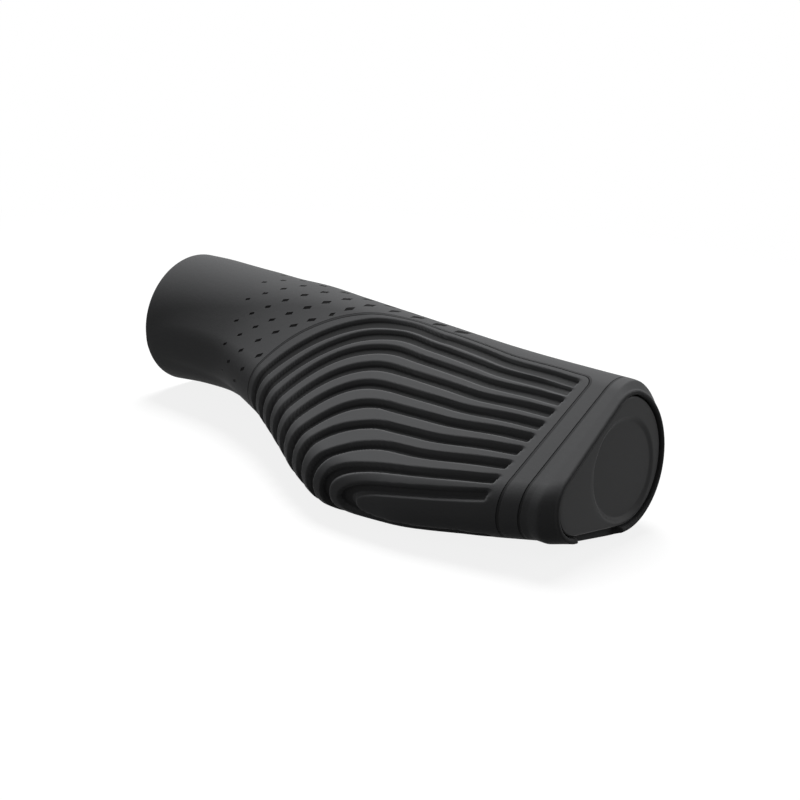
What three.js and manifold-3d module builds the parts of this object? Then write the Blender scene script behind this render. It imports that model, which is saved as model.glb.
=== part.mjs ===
// Handlebar grip with a palm wing, for the right hand.
// Millimetres. X runs outboard along the bar axis from the inboard end face, +Z is up,
// and the wing reaches back along -Y. The origin is on the bar axis at the inboard end.

import * as THREE from 'three';
import { ParametricGeometry } from 'three/addons/geometries/ParametricGeometry.js';
import { mergeVertices, toCreasedNormals } from 'three/addons/utils/BufferGeometryUtils.js';
import Module from 'manifold-3d';

const wasm = await Module();
wasm.setup();

// Driving sizes
const LENGTH = 130;
const BAR_DIAMETER = 22.2;
const WALL = 4.9;
const WING_REACH = 23.5;
const WING_DROOP = THREE.MathUtils.degToRad(16.1);
const CREST_ANGLE = THREE.MathUtils.degToRad(59);
const SEAT_CLEARANCE = 0.3;

// Inboard end
const EDGE_ROUND = 0.7;
const BORE_LEAD_IN = 0.5;

// Outboard end: collar line, bevelled shoulder and the lip round the cap. The end face leans
// inboard by END_RAKE per millimetre of height, and stands at LENGTH at the height END_LEVEL.
const END_RAKE = 0.12;
const END_LEVEL = -5;
const COLLAR_WIDTH = 6.7;
const COLLAR_LINE_WIDTH = 0.5;
const COLLAR_LINE_DEPTH = 0.3;
const SHOULDER_LENGTH = 5.3;
const SHOULDER_DROP = 1.8;
const LIP_THICKNESS = 1.1;
const LIP_ROUND = 0.5;
const LIP_PROUD = 0.6;
const NOTCH_WIDTH = 15;
const NOTCH_OFFSET = -9.2;
const NOTCH_DEPTH = 2.2;

// Cap: a plate let into the end, with a round dish and a ring that locates it in the bore.
// Its outline follows the grip's own, but is fuller at the tail and the crest.
const PLATE_THICKNESS = 2.4;
const PLATE_EDGE = 0.4;
const TAIL_EXTRA_RADIUS = 2.35;
const CREST_EXTRA_RADIUS = 1.5;
const REACH_CUT = 0.7;
const CAP_CREST_ANGLE = THREE.MathUtils.degToRad(67);
const DISH_RADIUS = 10.3;
const DISH_DEPTH = 0.7;
const DISH_WALL = 0.7;
const DISH_DROP = 1.8;
const DISH_TILT = THREE.MathUtils.degToRad(2.2);
const RING_LENGTH = 6;
const RING_WALL = 1.8;

// Ribbed palm panel
const PANEL_START = 42;
const PANEL_MARGIN = 3.9;
const PANEL_HEIGHT = 49.8;
const PANEL_END_HEIGHT = 40.2;
const PANEL_CORNER = 1.5;
const RIB_END_GAP = 2.6;
const BORDER_WIDTH = 0.9;
const BORDER_DEPTH = 0.35;
const GROOVE_WIDTH = 2.5;
const GROOVE_FLOOR = 1.5;
const GROOVE_DEPTH = 1.3;
const OUTER_GROOVE_DEPTH = 0.8;
const GROOVE_STEP_DEPTH = 0.1;
const GROOVE_PITCH = 4.75;
const FIRST_GROOVE = 3.1;
const TONGUE_GAP = 1.9;
const UNDERSIDE_DRAW = 0.377;
const CUTTER_HEIGHT = 1.5;

// Dimples
const DIMPLE_START = 28.5;
const DIMPLE_END = 84;
const CREST_ROW = THREE.MathUtils.degToRad(80);
const FRONT_ROWS = 4;
const BACK_ROWS = 10;
const DIMPLE_MARGIN = 0.95;
const DIMPLE_PITCH = 6.4;
const DIMPLE_ROW_ANGLE = THREE.MathUtils.degToRad(11.2);
const DIMPLE_LENGTH = 1.6;
const DIMPLE_WIDTH = 0.9;
const DIMPLE_DEPTH = 0.7;
const DIMPLE_SLANT = 0.45;
const DIMPLE_FIRST = 0.62;
const DIMPLE_GROWTH = 0.0208;

// Mesh fineness
const RING_POINTS = 40;
const SKIN_STATIONS = 21;
const CREASE_ANGLE = THREE.MathUtils.degToRad(35);

const BORE_RADIUS = BAR_DIAMETER / 2;
const BARREL_RADIUS = BORE_RADIUS + WALL;
const COLLAR_X = LENGTH - COLLAR_WIDTH;
const SKIN_END = LENGTH - SHOULDER_LENGTH;
const PANEL_END = COLLAR_X - PANEL_MARGIN;
const CAP_INSET = SEAT_CLEARANCE + LIP_THICKNESS + SHOULDER_DROP;
const PLATE_FACE = LENGTH - LIP_PROUD;
const RECESS_FLOOR = PLATE_FACE - PLATE_THICKNESS - SEAT_CLEARANCE;
const TAIL_DIRECTION = Math.PI + WING_DROOP;
const LEAN = new THREE.Matrix4()
  .makeShear(0, 0, 0, 0, -END_RAKE, 0)
  .setPosition(END_RAKE * END_LEVEL, 0, 0);

// How the section changes along the grip: rows of [share of the length, value].
// Reach is a share of WING_REACH, the others are shares of the barrel's radius.
const REACH = [[0, 0], [0.14, 0.023], [0.2, 0.035], [0.26, 0.09], [0.325, 0.19], [0.385, 0.35],
  [0.46, 0.58], [0.54, 0.825], [0.63, 1], [0.74, 0.94], [0.86, 0.7], [0.97, 0.42]];
const BARREL = [[0, 1], [0.154, 0.961], [0.33, 1.06], [0.5, 1.036], [0.76, 0.993], [0.97, 1.029]];
const LIFT = [[0, 0], [0.077, 0.058], [0.17, 0.081], [0.26, 0.028], [0.385, 0]];
const CREST = [[0, 0.999], [0.185, 0.9], [0.46, 0.59], [0.97, 0.537]];
const TAIL = [[0, 0.75], [0.23, 0.56], [0.46, 0.415], [0.97, 0.425]];

// How far the rows of dimples have turned toward the front: [share of the length, radians].
const DIMPLE_DRIFT = [[0.215, 0], [0.27, 0.01], [0.323, 0.035], [0.37, 0.08], [0.423, 0.131],
  [0.47, 0.165], [0.523, 0.245], [0.56, 0.265], [0.631, 0.267]];

// Grooves from the outermost in. Each runs from its foot on the wing's edge up to a crest,
// then on to its outboard end. Crest place, height and end height are shares of the panel's
// length, height and end height. Fullness and bow shape the bend, and fall the run past the
// crest.
const GROOVES = [
  { crest: 0.527, height: 0.952, end: 0.935, fullness: 1.5, fall: 1.5 },
  { crest: 0.515, height: 0.886, end: 0.873, fullness: 1.58, fall: 1.55 },
  { crest: 0.517, height: 0.801, end: 0.797, fullness: 1.8, fall: 1.6 },
  { crest: 0.523, height: 0.706, end: 0.71, fullness: 1.9, fall: 1.7 },
  { crest: 0.525, height: 0.605, end: 0.618, fullness: 1.92, fall: 2 },
  { crest: 0.534, height: 0.503, end: 0.527, fullness: 1.65, fall: 2.35 },
  { crest: 0.588, height: 0.397, end: 0.433, fullness: 2.05, fall: 2.4 },
  { crest: 0.654, height: 0.295, end: 0.334, fullness: 1.9, fall: 2.1 },
  { crest: 0.78, height: 0.191, end: 0.233, fullness: 2.6, fall: 1.3 },
  { crest: 0.84, height: 0.1, end: 0.139, fullness: 2.6, fall: 1.3 },
];
const BORDER = { crest: 0.52, height: 1.008, end: 1.007, fullness: 1.8, fall: 1.5, bow: 1.7 };

// The shoulder's rounding: rows of [share of its length, share of its drop].
const SHOULDER = [[0.3, 0.1], [0.62, 0.38], [0.85, 0.72]];

// A smooth curve through the rows of a table, with no overshoot between them.
function along(table, share) {
  const last = table.length - 1;
  const at = THREE.MathUtils.clamp(share, table[0][0], table[last][0]);
  const slope = (i) => (table[i + 1][1] - table[i][1]) / (table[i + 1][0] - table[i][0]);
  const bend = (i) => {
    const before = slope(Math.max(i - 1, 0));
    const after = slope(Math.min(i, last - 1));
    return before * after <= 0 ? 0 : (2 * before * after) / (before + after);
  };
  let i = 0;
  while (i < last - 1 && at > table[i + 1][0]) {
    i += 1;
  }
  const span = table[i + 1][0] - table[i][0];
  const t = (at - table[i][0]) / span;
  const rise = t * t * (3 - 2 * t);
  const out = t * (1 - t) * (1 - t) * span;
  const back = t * t * (t - 1) * span;
  return table[i][1] * (1 - rise) + table[i + 1][1] * rise + bend(i) * out + bend(i + 1) * back;
}

// A closed teardrop: a front arc about the bar, a tighter crest arc, and a tail arc, joined
// by straight stretches. upper runs from the front over the top to the tail's tip, and lower
// from the tip back under to the front; each gives a point at a distance along it.
function teardrop({ rise, radius, reach, tail, crest, crestAngle }) {
  const middle = new THREE.Vector2(0, rise);
  const polar = (centre, r, angle) =>
    new THREE.Vector2(centre.x + r * Math.cos(angle), centre.y + r * Math.sin(angle));
  const tailCentre = polar(middle, radius - tail + Math.max(reach, 0.02), TAIL_DIRECTION);
  const crestCentre = polar(middle, radius - crest, crestAngle);
  const lean = (centre, r) => {
    const gap = tailCentre.clone().sub(centre);
    const half = Math.acos(THREE.MathUtils.clamp((r - tail) / gap.length(), -1, 1));
    return { angle: THREE.MathUtils.euclideanModulo(gap.angle(), 2 * Math.PI), half };
  };
  const top = lean(crestCentre, crest);
  const under = lean(middle, radius);
  const facet = top.angle - top.half;
  const sole = under.angle + under.half;
  const arc = (centre, r, from, to) => ({
    length: r * Math.max(to - from, 0),
    at: (s) => polar(centre, r, from + s / r),
  });
  const line = (a, b) => ({
    length: a.distanceTo(b),
    at: (s) => a.clone().lerp(b, a.distanceTo(b) > 0 ? s / a.distanceTo(b) : 0),
  });
  const walk = (pieces) => {
    const length = pieces.reduce((sum, piece) => sum + piece.length, 0);
    const at = (distance) => {
      let s = THREE.MathUtils.clamp(distance, 0, length);
      let i = 0;
      while (i < pieces.length - 1 && s > pieces[i].length) {
        s -= pieces[i].length;
        i += 1;
      }
      return pieces[i].at(s);
    };
    return { length, at };
  };
  const upper = walk([
    arc(middle, radius, WING_DROOP, crestAngle),
    arc(crestCentre, crest, crestAngle, facet),
    line(polar(crestCentre, crest, facet), polar(tailCentre, tail, facet)),
    arc(tailCentre, tail, facet, TAIL_DIRECTION),
  ]);
  const lower = walk([
    arc(tailCentre, tail, TAIL_DIRECTION, sole),
    line(polar(tailCentre, tail, sole), polar(middle, radius, sole)),
    arc(middle, radius, sole, 2 * Math.PI + WING_DROOP),
  ]);
  return { upper, lower };
}

function skinSizes(x) {
  const share = x / LENGTH;
  const radius = BARREL_RADIUS * along(BARREL, share);
  return {
    rise: BARREL_RADIUS * along(LIFT, share),
    radius,
    reach: WING_REACH * along(REACH, share),
    tail: radius * along(TAIL, share),
    crest: radius * along(CREST, share),
    crestAngle: CREST_ANGLE,
  };
}

function grown(sizes, grow) {
  const { radius, tail, crest } = sizes;
  return { ...sizes, radius: radius + grow, tail: tail + grow, crest: crest + grow };
}

// The grip's outer section at x, drawn in by inset.
function skinSection(x, inset = 0) {
  return teardrop(grown(skinSizes(x), -inset));
}

// The cap's outline, grown by grow.
function capSection(grow = 0) {
  const skin = grown(skinSizes(SKIN_END), -CAP_INSET);
  return teardrop(grown({
    ...skin,
    reach: skin.reach - REACH_CUT,
    tail: skin.tail + TAIL_EXTRA_RADIUS,
    crest: skin.crest + CREST_EXTRA_RADIUS,
    crestAngle: CAP_CREST_ANGLE,
  }, grow));
}

// A section's points, half of them over the top and half underneath.
function ringOf(section, x) {
  const half = RING_POINTS / 2;
  return Array.from({ length: RING_POINTS }, (_, i) => {
    const { length, at } = i < half ? section.upper : section.lower;
    const p = at((length * (i % half)) / half);
    return new THREE.Vector3(x, p.x, p.y);
  });
}

// A round ring about the bar axis, its points in step with those of a section's ring.
function roundRing(radius, x) {
  return Array.from({ length: RING_POINTS }, (_, i) => {
    const angle = WING_DROOP + (2 * Math.PI * i) / RING_POINTS;
    return new THREE.Vector3(x, radius * Math.cos(angle), radius * Math.sin(angle));
  });
}

// A ring moved onto the lean of the end face.
function leaning(ring) {
  return ring.map((p) => p.applyMatrix4(LEAN));
}

// A ring part of the way down the bevel: run is its share along X, drop its share inward.
function bevelBetween(start, end, run, drop) {
  return start.map((p, i) =>
    p.clone().lerp(end[i], drop).setX(THREE.MathUtils.lerp(p.x, end[i].x, run)));
}

// A closed solid from a mesh of any kind: shared points merged, and flat slivers dropped.
function solidOf(geometry) {
  const bare = geometry.clone();
  bare.deleteAttribute('normal');
  bare.deleteAttribute('uv');
  const merged = mergeVertices(bare, 1e-4);
  const corners = merged.index.array;
  const kept = [];
  for (let i = 0; i < corners.length; i += 3) {
    const [a, b, c] = [corners[i], corners[i + 1], corners[i + 2]];
    if (a !== b && b !== c && c !== a) {
      kept.push(a, b, c);
    }
  }
  const mesh = new wasm.Mesh({
    numProp: 3,
    vertProperties: new Float32Array(merged.attributes.position.array),
    triVerts: new Uint32Array(kept),
  });
  return new wasm.Manifold(mesh);
}

function geometryOf(solid) {
  const mesh = solid.getMesh();
  const geometry = new THREE.BufferGeometry();
  geometry.setAttribute('position', new THREE.BufferAttribute(mesh.vertProperties, 3));
  geometry.setIndex(new THREE.BufferAttribute(mesh.triVerts, 1));
  return toCreasedNormals(geometry, CREASE_ANGLE);
}

// A closed surface through rings in order. Open ends are closed onto their middles.
function surfaceThrough(rings, { looped = false } = {}) {
  const middle = (ring) =>
    ring.reduce((sum, p) => sum.add(p), new THREE.Vector3()).divideScalar(ring.length);
  const rows = looped
    ? [...rings, rings[0]]
    : [rings[0].map(() => middle(rings[0])), ...rings,
      rings.at(-1).map(() => middle(rings.at(-1)))];
  const columns = rings[0].length;
  const place = (u, v, target) => {
    const column = Math.round(u * columns) % columns;
    target.copy(rows[Math.round(v * (rows.length - 1))][column]);
  };
  return new ParametricGeometry(place, columns, rows.length - 1);
}

// A point on the skin, height mm over it from the wing's edge: up when positive, under when
// negative.
function skinPoint(x, height) {
  const { upper, lower } = skinSection(x);
  const p = height >= 0 ? upper.at(upper.length - height) : lower.at(-height);
  return new THREE.Vector3(x, p.x, p.y);
}

// The skin's directions at a point: outboard, up the skin, and out of it.
function skinFrame(x, height) {
  const step = 0.05;
  const outboard = skinPoint(x + step, height).sub(skinPoint(x - step, height)).normalize();
  const up = skinPoint(x, height + step).sub(skinPoint(x, height - step)).normalize();
  const out = new THREE.Vector3().crossVectors(outboard, up).normalize();
  return { outboard, up, out };
}

function panelX(share) {
  return PANEL_START + share * (PANEL_END - PANEL_START);
}

// The height under the wing that mirrors a height over it, drawn in toward the bar.
function underside(height) {
  return height * ((UNDERSIDE_DRAW * height) / PANEL_HEIGHT - 1);
}

// One line of the palm panel in [x, height]: from its outboard end up to the crest, down to
// the foot on the wing's edge, and on under the wing, where it is drawn in toward the bar.
function panelLine({ crest, height, end, fullness, fall, bow = 2 }, footX, endX) {
  const crestX = panelX(crest);
  const rise = height * PANEL_HEIGHT;
  const drop = rise - end * PANEL_END_HEIGHT;
  const run = (share) => [
    THREE.MathUtils.lerp(crestX, endX, share),
    rise - drop * share ** fall,
  ];
  const bend = (angle) => [
    crestX - (crestX - footX) * Math.max(Math.cos(angle), 0) ** (2 / bow),
    rise * Math.sin(angle) ** (2 / fullness),
  ];
  const quarter = Math.PI / 2;
  const upper = [1, 0.68, 0.34].map(run);
  const bends = [1, 0.85, 0.7, 0.55, 0.42, 0.3, 0.2, 0.13, 0.06].map((share) =>
    bend(quarter * share));
  const top = [...upper, ...bends];
  const under = top.map(([x, s]) => [x, underside(s)]).reverse();
  return [...top, bend(0), ...under];
}

// A cutter that follows a line over the skin, open or looped. widthAt gives the mouth's width
// at a share of the way from the line's ends to its middle, and floor is the floor's share of it.
function channel(line, { floor, depth, widthAt, looped = false }) {
  const count = line.length;
  const points = line.map(([x, s]) => skinPoint(x, s));
  const neighbour = (i) => points[looped ? (i + count) % count : Math.min(Math.max(i, 0), count - 1)];
  const middle = (count - 1) / 2;
  const rings = line.map(([x, s], i) => {
    const forward = neighbour(i + 1).clone().sub(neighbour(i - 1)).normalize();
    const { out } = skinFrame(x, s);
    const side = new THREE.Vector3().crossVectors(out, forward).normalize();
    const mouth = widthAt(1 - Math.abs(i - middle) / middle) / 2;
    const foot = mouth * floor;
    const flare = 2 * mouth - foot;
    const corner = (across, high) =>
      points[i].clone().addScaledVector(side, across).addScaledVector(out, high);
    return [corner(foot, -depth), corner(flare, depth), corner(flare, CUTTER_HEIGHT),
      corner(-flare, CUTTER_HEIGHT), corner(-flare, depth), corner(-foot, -depth)];
  });
  return solidOf(surfaceThrough(rings, { looped }));
}

// The panel's grooves, and the fine line that frames them.
function panelCutters() {
  const ribEnd = PANEL_END - RIB_END_GAP;
  const grooves = GROOVES.map((row, i) => {
    const innermost = i === GROOVES.length - 1;
    const widening = innermost ? TONGUE_GAP : 0;
    const footX = PANEL_START + FIRST_GROOVE + GROOVE_PITCH * i + widening / 2;
    return channel(panelLine(row, footX, ribEnd), {
      floor: GROOVE_FLOOR / GROOVE_WIDTH,
      depth: Math.min(OUTER_GROOVE_DEPTH + GROOVE_STEP_DEPTH * i, GROOVE_DEPTH),
      widthAt: (share) => GROOVE_WIDTH + widening * THREE.MathUtils.smoothstep(share, 0.6, 1),
    });
  });
  const top = panelLine(BORDER, PANEL_START, PANEL_END - PANEL_CORNER);
  const height = PANEL_END_HEIGHT - PANEL_CORNER;
  const down = [1, 0.78, 0.57, 0.38, 0.24, 0.15, 0.09, 0.045].map((share) => height * share);
  const outboard = [...down, 0, ...down.map(underside).reverse()].map((s) => [PANEL_END, s]);
  const frame = [...top, ...outboard.reverse()];
  const line = channel(frame, {
    floor: 0.3,
    depth: BORDER_DEPTH,
    widthAt: () => BORDER_WIDTH,
    looped: true,
  });
  return [...grooves, line];
}

// The height over the skin at which its direction from the bar axis is angle. It is found by
// halving, because the direction turns one way from the tail's tip round to the front.
function heightAt(x, angle) {
  const { upper } = skinSection(x);
  let low = 0;
  let high = upper.length;
  for (let i = 0; i < 20; i += 1) {
    const half = (low + high) / 2;
    if (upper.at(upper.length - half).angle() > angle) {
      low = half;
    } else {
      high = half;
    }
  }
  return low;
}

// Small slanted pockets in rows along the bar, over the crest and round the front, every
// other row half a pitch on. They grow outboard and stop short of the palm panel.
function dimpleCutters() {
  const crestX = panelX(BORDER.crest);
  const top = BORDER.height * PANEL_HEIGHT;
  const clearOfPanel = (x, height) => {
    const share = Math.max(height - DIMPLE_MARGIN, 0) / top;
    const bend = Math.max(1 - share ** BORDER.fullness, 0) ** (1 / BORDER.bow);
    return height > top + DIMPLE_MARGIN
      || x + DIMPLE_MARGIN < crestX - (crestX - PANEL_START) * bend;
  };
  const cutters = [];
  for (let row = -FRONT_ROWS; row <= BACK_ROWS; row += 1) {
    const angle = CREST_ROW + row * DIMPLE_ROW_ANGLE;
    const lastX = DIMPLE_END + (Math.min(row, 0) * DIMPLE_PITCH) / 2;
    const shift = (Math.abs(row % 2) * DIMPLE_PITCH) / 2;
    for (let x = DIMPLE_START + shift; x < lastX; x += DIMPLE_PITCH) {
      const height = heightAt(x, angle - along(DIMPLE_DRIFT, x / LENGTH));
      if (height > 0.1 && clearOfPanel(x, height)) {
        cutters.push(pocket(x, height));
      }
    }
  }
  return cutters;
}

function pocket(x, height) {
  const growth = DIMPLE_FIRST + (x - DIMPLE_START) * DIMPLE_GROWTH;
  const { outboard, up, out } = skinFrame(x, height);
  const slanted = outboard.clone().addScaledVector(up, DIMPLE_SLANT);
  const box = new THREE.BoxGeometry(DIMPLE_LENGTH * growth, DIMPLE_WIDTH * growth, 2 * DIMPLE_DEPTH);
  const place = new THREE.Matrix4().makeBasis(slanted, up, out).setPosition(skinPoint(x, height));
  return solidOf(box.applyMatrix4(place));
}

// The moulded rubber body as one closed surface: skin, bevelled shoulder, lip, recess for the
// cap, bar bore, and the inboard end face.
function bodySolid() {
  const stations = Array.from({ length: SKIN_STATIONS }, (_, i) =>
    THREE.MathUtils.lerp(EDGE_ROUND, COLLAR_X - COLLAR_LINE_WIDTH / 2, i / (SKIN_STATIONS - 1)));
  const skin = stations.map((x) => ringOf(skinSection(x), x));
  const collar = [
    ringOf(skinSection(COLLAR_X, COLLAR_LINE_DEPTH), COLLAR_X),
    ringOf(skinSection(COLLAR_X + COLLAR_LINE_WIDTH / 2), COLLAR_X + COLLAR_LINE_WIDTH / 2),
    ringOf(skinSection(SKIN_END), SKIN_END),
  ];
  const lipInside = SEAT_CLEARANCE;
  const lipOutside = lipInside + LIP_THICKNESS;
  const lipEdge = LENGTH - LIP_ROUND;
  const raked = (grow, x) => leaning(ringOf(capSection(grow), x));
  const bevelStart = collar.at(-1);
  const bevelEnd = raked(lipOutside, lipEdge);
  const end = [
    ...SHOULDER.map(([run, drop]) => bevelBetween(bevelStart, bevelEnd, run, drop)),
    bevelEnd,
    raked(lipOutside - 0.35 * LIP_THICKNESS, LENGTH),
    raked(lipInside + 0.35 * LIP_THICKNESS, LENGTH),
    raked(lipInside, lipEdge),
    raked(lipInside, RECESS_FLOOR),
  ];
  const bore = [
    leaning(roundRing(BORE_RADIUS, RECESS_FLOOR)),
    roundRing(BORE_RADIUS, BORE_LEAD_IN),
    roundRing(BORE_RADIUS + BORE_LEAD_IN, 0),
    ringOf(skinSection(0, EDGE_ROUND), 0),
    ringOf(skinSection(0, 0.3 * EDGE_ROUND), 0.3 * EDGE_ROUND),
  ];
  return solidOf(surfaceThrough([...skin, ...collar, ...end, ...bore], { looped: true }));
}

// The gap in the lip under the cap, where a tool can lift it out.
function lipNotch() {
  const ring = ringOf(capSection(SEAT_CLEARANCE), LENGTH);
  const under = ring.filter((p) => p.z < 0 && Math.abs(p.y - NOTCH_OFFSET) < NOTCH_WIDTH / 2);
  const top = Math.max(...under.map((p) => p.z));
  const block = new THREE.BoxGeometry(2 * NOTCH_DEPTH, NOTCH_WIDTH, BARREL_RADIUS);
  block.translate(LENGTH, NOTCH_OFFSET, top - BARREL_RADIUS / 2);
  return solidOf(block.applyMatrix4(LEAN));
}

function gripBody() {
  const cutters = [...panelCutters(), ...dimpleCutters(), lipNotch()];
  return cutters.reduce((body, cutter) => body.subtract(cutter), bodySolid());
}

// The separate end plate: edge bevelled all round, a round dish that is deepest toward the wing
// and runs out toward the front, and a hollow ring behind it that locates in the bore.
function endCap() {
  const back = PLATE_FACE - PLATE_THICKNESS;
  const ringOutside = BORE_RADIUS - SEAT_CLEARANCE;
  const plate = [
    ringOf(capSection(0), back),
    ringOf(capSection(0), PLATE_FACE - PLATE_EDGE),
    ringOf(capSection(-PLATE_EDGE), PLATE_FACE),
  ];
  const blank = solidOf(surfaceThrough(plate).applyMatrix4(LEAN));
  const dishCutter = new THREE.CylinderGeometry(DISH_RADIUS + DISH_WALL, DISH_RADIUS - DISH_WALL,
    2 * DISH_DEPTH, RING_POINTS);
  dishCutter.rotateZ(-DISH_TILT - Math.PI / 2).translate(PLATE_FACE, 0, -DISH_DROP);
  const outline = [[RING_LENGTH, ringOutside], [RING_LENGTH, ringOutside - RING_WALL],
    [-PLATE_EDGE, ringOutside - RING_WALL], [-PLATE_EDGE, ringOutside]];
  const profile = outline.map(([down, r]) => new THREE.Vector2(r, down));
  const ring = new THREE.LatheGeometry([...profile, profile[0]], RING_POINTS);
  ring.rotateZ(Math.PI / 2).translate(back, 0, 0);
  return blank
    .subtract(solidOf(dishCutter.applyMatrix4(LEAN)))
    .add(solidOf(ring.applyMatrix4(LEAN)));
}

function meshOf(name, solid, material) {
  const mesh = new THREE.Mesh(geometryOf(solid), material);
  mesh.name = name;
  return mesh;
}

const rubber = new THREE.MeshStandardMaterial({ color: 0x3b3c3d, roughness: 0.62, metalness: 0 });
const plastic = new THREE.MeshStandardMaterial({ color: 0x37383a, roughness: 0.5, metalness: 0 });

const grip = new THREE.Group();
grip.add(meshOf('grip_body', gripBody(), rubber));
grip.add(meshOf('end_cap', endCap(), plastic));

export default grip;
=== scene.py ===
"""Handlebar grip for the right hand, in the CAD's frame: a moulded rubber body and an end plate.

Shapes are worked out in millimetres and stored in metres. X runs outboard along the bar axis,
+Z is up, and the palm wing reaches back along -Y. A height on the skin is the distance over it
from the wing's edge: positive over the top, negative underneath.
"""

import math
import bpy
import numpy as np
from mathutils import Matrix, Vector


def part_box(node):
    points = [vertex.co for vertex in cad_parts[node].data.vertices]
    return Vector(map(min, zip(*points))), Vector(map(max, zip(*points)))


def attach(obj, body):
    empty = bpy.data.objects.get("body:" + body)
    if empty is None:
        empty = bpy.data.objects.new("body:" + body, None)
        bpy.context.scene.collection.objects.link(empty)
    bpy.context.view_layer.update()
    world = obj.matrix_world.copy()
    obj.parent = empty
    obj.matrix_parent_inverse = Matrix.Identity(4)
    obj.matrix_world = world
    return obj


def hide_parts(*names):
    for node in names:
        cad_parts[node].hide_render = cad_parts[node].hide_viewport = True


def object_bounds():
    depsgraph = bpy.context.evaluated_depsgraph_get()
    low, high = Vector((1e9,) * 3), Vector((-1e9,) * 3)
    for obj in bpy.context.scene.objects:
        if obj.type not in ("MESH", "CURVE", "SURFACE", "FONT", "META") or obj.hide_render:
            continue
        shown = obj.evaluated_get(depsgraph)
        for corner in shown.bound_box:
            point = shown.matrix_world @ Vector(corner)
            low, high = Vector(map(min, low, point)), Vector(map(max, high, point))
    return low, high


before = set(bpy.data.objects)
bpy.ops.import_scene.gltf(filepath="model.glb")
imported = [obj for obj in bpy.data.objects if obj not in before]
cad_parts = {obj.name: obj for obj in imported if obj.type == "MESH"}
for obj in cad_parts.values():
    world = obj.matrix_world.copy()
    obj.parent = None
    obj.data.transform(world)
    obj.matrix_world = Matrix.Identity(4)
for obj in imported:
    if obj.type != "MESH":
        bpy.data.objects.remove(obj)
cad_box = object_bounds()

MM = 0.001
UV_UNIT = 100

# Overall sizes. The reach is never less than LEAST_REACH, so that the arcs' centres stay apart.
LENGTH = 130.0
BORE_RADIUS = 11.1
BARREL_RADIUS = 16.0
WING_REACH = 23.5
LEAST_REACH = 0.02
WING_DROOP = math.radians(16.1)
CREST_ANGLE = math.radians(59)
SEAT_CLEARANCE = 0.3
TAIL_DIRECTION = math.pi + WING_DROOP

# Ends
EDGE_ROUND = 0.7
BORE_LEAD_IN = 0.5
END_RAKE = 0.12
END_LEVEL = -5.0
COLLAR_X = 123.3
SKIN_END = 124.7
SHOULDER_CREASE = 0.44
SHOULDER_ROUND = 0.05
SHOULDER_LEAD = 0.07
LIP_THICKNESS = 1.1
LIP_ROUND = 0.5
LIP_EDGE = LENGTH - LIP_ROUND
FACE_INSET = 1.6
CAP_INSET = 3.2
PLATE_FACE = 129.4
PLATE_THICKNESS = 2.4
PLATE_BACK = PLATE_FACE - PLATE_THICKNESS
RECESS_FLOOR = PLATE_BACK - SEAT_CLEARANCE
NOTCH_WIDTH = 15.0
NOTCH_OFFSET = -9.2
NOTCH_DEPTH = 2.2
NOTCH_SIDE = 0.2

# End plate
PLATE_EDGE = 0.4
TAIL_EXTRA_RADIUS = 2.35
CREST_EXTRA_RADIUS = 1.5
REACH_CUT = 0.7
CAP_CREST_ANGLE = math.radians(67)
DISH_RADIUS = 10.3
DISH_DEPTH = 0.7
DISH_WALL = 0.7
DISH_DROP = 1.8
DISH_TILT = math.tan(math.radians(2.2))
RING_LENGTH = 6.0
RING_WALL = 1.8

# Palm panel
PANEL_START = 42.0
PANEL_END = 119.4
PANEL_HEIGHT = 49.8
PANEL_END_HEIGHT = 40.2
PANEL_CORNER = 2.6
RIB_END = 116.8
GROOVE_WIDTH = 2.5
GROOVE_DEPTH = 1.3
OUTER_GROOVE_DEPTH = 0.8
GROOVE_STEP_DEPTH = 0.1
GROOVE_CORNER = 0.5
UPPER_WALL = 0.45
LOWER_WALL = 0.95
GROOVE_PITCH = 4.75
FIRST_GROOVE = 3.1
GROOVE_FOOT = 0.12
TONGUE_GAP = 1.9
TONGUE_BEND = 0.7
BORDER_LINE = 0.62
BORDER_DEPTH = 0.28
COLLAR_DEPTH = 0.3

# Underneath, the panel is drawn in toward the bar as far as UNDER_LIMIT. The grooves fade out
# where the drawing in leaves these shares of a height's change, and count as further off.
UNDERSIDE_DRAW = 0.377 / PANEL_HEIGHT
UNDER_LIMIT = 0.98 / (4 * UNDERSIDE_DRAW)
GROOVE_FADE = (0.3, 0.66)
FADE_DISTANCE = 1.5
FAR_OUTSIDE = 2.0

# Fineness of the body's grid: the start, end and count of each stretch of rows along the bar,
# and the counts of columns. The columns over the top are spread over COLUMN_TOP of the panel's
# height at its crest, and over COLUMN_SPREAD of the way round inboard of COLUMN_BEND.
STATIONS = [(EDGE_ROUND, 26, 12), (26, 42, 10), (42, 83, 166), (83, 119.6, 78),
            (119.6, SKIN_END, 8)]
OVER_COLUMNS = 188
UNDER_COLUMNS = 82
FRONT_COLUMNS = 15
COLUMN_TOP = 1.066
COLUMN_SPREAD = 0.79
COLUMN_BEND = 62.0
UNDER_SPREAD = 0.62

# Fineness of the ends: counts of rows, heights of rows over the recess's floor, shares of the
# way across a flat, and places of rows in the bore. Rows SUPPORT from an edge keep it sharp.
SUPPORT = 0.1
EDGE_ROWS = 6
BEVEL_ROWS = 22
LIP_ROWS = 9
RECESS_ROWS = (1.4, SUPPORT, 0)
FLOOR_SHARES = (0.05, 0.95, 1)
BORE_STATIONS = (118, 90, 60, 30, 4, 0.6, BORE_LEAD_IN)
LEAD_IN_STATIONS = (0.05, 0.0)

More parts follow.
